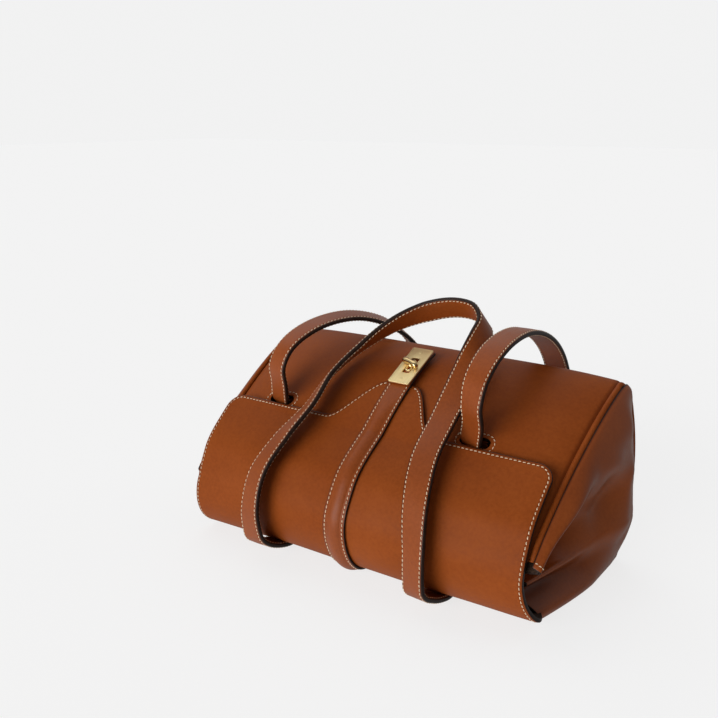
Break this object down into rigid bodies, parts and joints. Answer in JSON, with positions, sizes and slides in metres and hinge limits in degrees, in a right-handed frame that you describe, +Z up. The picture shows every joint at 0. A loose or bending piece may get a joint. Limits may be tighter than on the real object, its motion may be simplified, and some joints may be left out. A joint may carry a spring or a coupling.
{
  "type": "tote bag",
  "caption": "Leather flap tote lying on its back, with a turn-lock tongue, folded gussets and a pair of flat strap handles.",
  "frame": {"origin": "middle of the flat face of the back panel that the bag lies on", "axes": "+X across the bag's width, -Y out of its mouth, +Y out of its base, +Z up through the front panel"},
  "size_m": [0.3494, 0.2343, 0.2007],
  "materials": {
    "tan_leather": "smooth satin",
    "edge_leather": "smooth satin",
    "suede_lining": "napped suede",
    "gold_metal": "brushed, plated",
    "board": "matt board"
  },
  "bodies": {
    "bag": {"front_panel": "tan_leather", "front_lining": "suede_lining", "back_panel": "tan_leather", "back_lining": "suede_lining", "base_panel": "tan_leather", "base_board": "board", "base_lining": "suede_lining", "left_gusset": "tan_leather", "left_gusset_lining": "suede_lining", "left_piping": "edge_leather", "right_gusset": "tan_leather", "right_gusset_lining": "suede_lining", "right_piping": "edge_leather", "flap_foot": "tan_leather", "left_slot_facing": "edge_leather", "right_slot_facing": "edge_leather", "rear_handle_left_tab": "tan_leather", "rear_handle_left_bend": "tan_leather", "rear_handle_right_tab": "tan_leather", "rear_handle_right_bend": "tan_leather", "front_handle_left_neck": "tan_leather", "front_handle_right_neck": "tan_leather", "lock_base": "gold_metal", "lock_washer": "gold_metal"},
    "flap": {"flap_panel": "tan_leather", "flap_lining": "suede_lining", "tongue_strap": "tan_leather", "lock_plate": "gold_metal", "lower_rivet": "gold_metal", "upper_rivet": "gold_metal"},
    "rear_handle": {"rear_handle_outer": "tan_leather", "rear_handle_inner": "tan_leather"},
    "front_handle": {"front_handle_outer": "tan_leather", "front_handle_inner": "tan_leather"},
    "turn_knob": {"turn_knob": "gold_metal"}
  },
  "joints": [
    {"name": "flap_fold", "type": "hinge", "parent": "bag", "child": "flap", "pos_m": [0, -0.09, 0.024], "axis": [1, 0, 0], "range_deg": [0, 85], "deforming": ["flap_foot", "rear_handle_left_bend", "rear_handle_right_bend"]},
    {"name": "rear_handle_swing", "type": "hinge", "parent": "flap", "child": "rear_handle", "pos_m": [0, -0.095, 0.0234], "axis": [1, 0, 0], "range_deg": [0, 75], "deforming": ["rear_handle_left_bend", "rear_handle_right_bend"]},
    {"name": "front_handle_swing", "type": "hinge", "parent": "bag", "child": "front_handle", "pos_m": [0, -0.042, 0.12715], "axis": [1, 0, 0], "range_deg": [0, 90], "deforming": ["front_handle_left_neck", "front_handle_right_neck"]},
    {"name": "knob_turn", "type": "hinge", "parent": "bag", "child": "turn_knob", "pos_m": [0, 0.00656, 0.1403], "axis": [0, -0.4397, 0.8981], "range_deg": [0, 90]}
  ]
}
